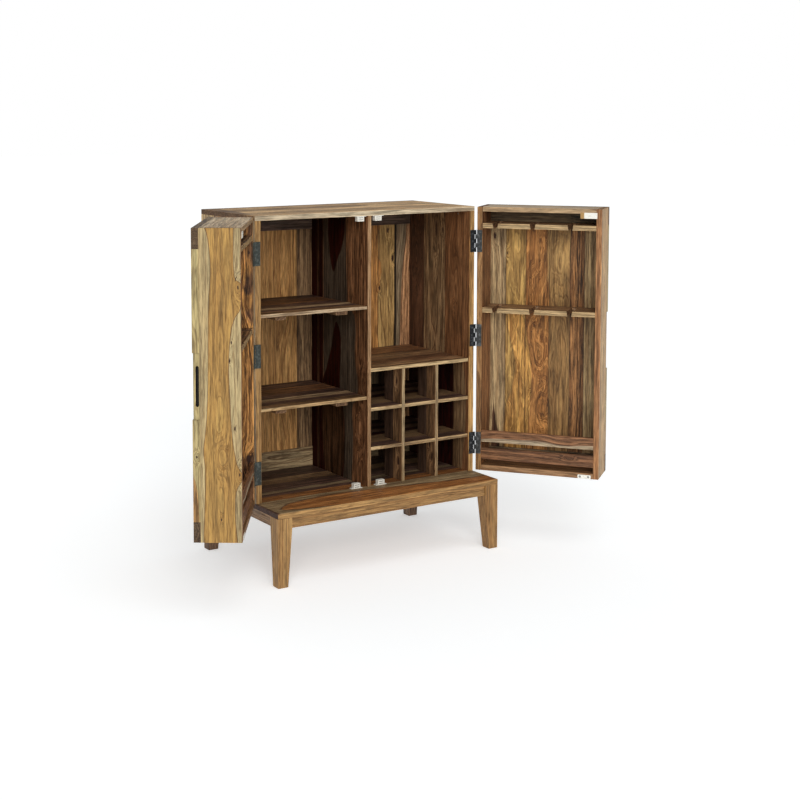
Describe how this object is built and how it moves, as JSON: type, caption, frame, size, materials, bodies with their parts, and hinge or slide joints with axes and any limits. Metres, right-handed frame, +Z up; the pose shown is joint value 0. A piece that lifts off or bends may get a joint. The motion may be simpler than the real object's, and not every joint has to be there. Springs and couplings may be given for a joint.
{
  "type": "bar cabinet",
  "caption": "Standing bar cabinet in figured hardwood: deep hinged doors with stemware racks and bottle rails, a shelved bay, a bottle rack, and a base on tapered legs.",
  "frame": {"origin": "on the floor, under the middle of the box that the cabinet fills with its doors open as pictured", "axes": "+X to the cabinet's right as seen from in front, +Y towards its back, +Z up"},
  "size_m": [1.7109, 0.785, 1.2365],
  "materials": {
    "case_top": "clear satin lacquer over figured grain",
    "case_side_left": "clear satin lacquer over figured grain",
    "case_side_right": "clear satin lacquer over figured grain",
    "centre_divider": "clear satin lacquer over figured grain",
    "back_rail_top": "clear satin lacquer over figured grain",
    "back_rail_bottom": "clear satin lacquer over figured grain",
    "back_board_wide": "clear satin lacquer over figured grain",
    "back_board_narrow": "clear satin lacquer over figured grain",
    "shelf_upper": "clear satin lacquer over figured grain",
    "shelf_lower": "clear satin lacquer over figured grain",
    "bottle_rack_lid": "clear satin lacquer over figured grain",
    "bottle_rack_board_1": "clear satin lacquer over figured grain",
    "bottle_rack_board_2": "clear satin lacquer over figured grain",
    "bottle_rack_front_upright_1": "clear satin lacquer over figured grain",
    "bottle_rack_front_upright_2": "clear satin lacquer over figured grain",
    "bottle_rack_rear_upright_1": "clear satin lacquer over figured grain",
    "bottle_rack_rear_upright_2": "clear satin lacquer over figured grain",
    "catch_top_left": "white, smooth",
    "catch_top_right": "white, smooth",
    "catch_bottom_left": "white, smooth",
    "catch_bottom_right": "white, smooth",
    "base_top": "clear satin lacquer over figured grain",
    "leg_front_left": "clear satin lacquer over figured grain",
    "leg_front_right": "clear satin lacquer over figured grain",
    "leg_back_left": "clear satin lacquer over figured grain",
    "leg_back_right": "clear satin lacquer over figured grain",
    "apron_front": "clear satin lacquer over figured grain",
    "apron_back": "clear satin lacquer over figured grain",
    "apron_left": "clear satin lacquer over figured grain",
    "apron_right": "clear satin lacquer over figured grain",
    "left_hinge_1_case_leaf": "black, low sheen",
    "left_hinge_2_case_leaf": "black, low sheen",
    "left_hinge_3_case_leaf": "black, low sheen",
    "right_hinge_1_case_leaf": "black, low sheen",
    "right_hinge_2_case_leaf": "black, low sheen",
    "right_hinge_3_case_leaf": "black, low sheen",
    "left_door_front": "clear satin lacquer over figured grain",
    "left_door_hinge_side": "clear satin lacquer over figured grain",
    "left_door_free_side": "clear satin lacquer over figured grain",
    "left_door_top": "clear satin lacquer over figured grain",
    "left_door_bottom": "clear satin lacquer over figured grain",
    "left_door_glass_rack_upper": "clear satin lacquer over figured grain",
    "left_door_glass_rack_lower": "clear satin lacquer over figured grain",
    "left_door_bottle_rail_upper": "clear satin lacquer over figured grain",
    "left_door_bottle_rail_lower": "clear satin lacquer over figured grain",
    "left_hinge_1_door_leaf": "black, low sheen",
    "left_hinge_2_door_leaf": "black, low sheen",
    "left_hinge_3_door_leaf": "black, low sheen",
    "right_door_front": "clear satin lacquer over figured grain",
    "right_door_hinge_side": "clear satin lacquer over figured grain",
    "right_door_free_side": "clear satin lacquer over figured grain",
    "right_door_top": "clear satin lacquer over figured grain",
    "right_door_bottom": "clear satin lacquer over figured grain",
    "right_door_glass_rack_upper": "clear satin lacquer over figured grain",
    "right_door_glass_rack_lower": "clear satin lacquer over figured grain",
    "right_door_bottle_rail_upper": "clear satin lacquer over figured grain",
    "right_door_bottle_rail_lower": "clear satin lacquer over figured grain",
    "right_hinge_1_door_leaf": "black, low sheen",
    "right_hinge_2_door_leaf": "black, low sheen",
    "right_hinge_3_door_leaf": "black, low sheen"
  },
  "bodies": {
    "cabinet": {"case_top": "case_top", "case_side_left": "case_side_left", "case_side_right": "case_side_right", "centre_divider": "centre_divider", "back_rail_top": "back_rail_top", "back_rail_bottom": "back_rail_bottom", "back_board_wide": "back_board_wide", "back_board_narrow": "back_board_narrow", "shelf_upper": "shelf_upper", "shelf_lower": "shelf_lower", "bottle_rack_lid": "bottle_rack_lid", "bottle_rack_board_1": "bottle_rack_board_1", "bottle_rack_board_2": "bottle_rack_board_2", "bottle_rack_front_upright_1": "bottle_rack_front_upright_1", "bottle_rack_front_upright_2": "bottle_rack_front_upright_2", "bottle_rack_rear_upright_1": "bottle_rack_rear_upright_1", "bottle_rack_rear_upright_2": "bottle_rack_rear_upright_2", "catch_top_left": "catch_top_left", "catch_top_right": "catch_top_right", "catch_bottom_left": "catch_bottom_left", "catch_bottom_right": "catch_bottom_right", "base_top": "base_top", "leg_front_left": "leg_front_left", "leg_front_right": "leg_front_right", "leg_back_left": "leg_back_left", "leg_back_right": "leg_back_right", "apron_front": "apron_front", "apron_back": "apron_back", "apron_left": "apron_left", "apron_right": "apron_right", "left_hinge_1_case_leaf": "left_hinge_1_case_leaf", "left_hinge_2_case_leaf": "left_hinge_2_case_leaf", "left_hinge_3_case_leaf": "left_hinge_3_case_leaf", "right_hinge_1_case_leaf": "right_hinge_1_case_leaf", "right_hinge_2_case_leaf": "right_hinge_2_case_leaf", "right_hinge_3_case_leaf": "right_hinge_3_case_leaf"},
    "left_door": {"left_door_front": "left_door_front", "left_door_hinge_side": "left_door_hinge_side", "left_door_free_side": "left_door_free_side", "left_door_top": "left_door_top", "left_door_bottom": "left_door_bottom", "left_door_glass_rack_upper": "left_door_glass_rack_upper", "left_door_glass_rack_lower": "left_door_glass_rack_lower", "left_door_bottle_rail_upper": "left_door_bottle_rail_upper", "left_door_bottle_rail_lower": "left_door_bottle_rail_lower", "left_hinge_1_door_leaf": "left_hinge_1_door_leaf", "left_hinge_2_door_leaf": "left_hinge_2_door_leaf", "left_hinge_3_door_leaf": "left_hinge_3_door_leaf"},
    "right_door": {"right_door_front": "right_door_front", "right_door_hinge_side": "right_door_hinge_side", "right_door_free_side": "right_door_free_side", "right_door_top": "right_door_top", "right_door_bottom": "right_door_bottom", "right_door_glass_rack_upper": "right_door_glass_rack_upper", "right_door_glass_rack_lower": "right_door_glass_rack_lower", "right_door_bottle_rail_upper": "right_door_bottle_rail_upper", "right_door_bottle_rail_lower": "right_door_bottle_rail_lower", "right_hinge_1_door_leaf": "right_hinge_1_door_leaf", "right_hinge_2_door_leaf": "right_hinge_2_door_leaf", "right_hinge_3_door_leaf": "right_hinge_3_door_leaf"}
  },
  "joints": [
    {"name": "left_door_hinge", "type": "hinge", "parent": "cabinet", "child": "left_door", "pos_m": [-0.47443, -0.00947, 0.745], "axis": [0, 0, -1], "range_deg": [-123.3, 56.7]},
    {"name": "right_door_hinge", "type": "hinge", "parent": "cabinet", "child": "right_door", "pos_m": [0.44837, -0.00947, 0.745], "axis": [0, 0, 1], "range_deg": [-128.6, 51.4]}
  ]
}
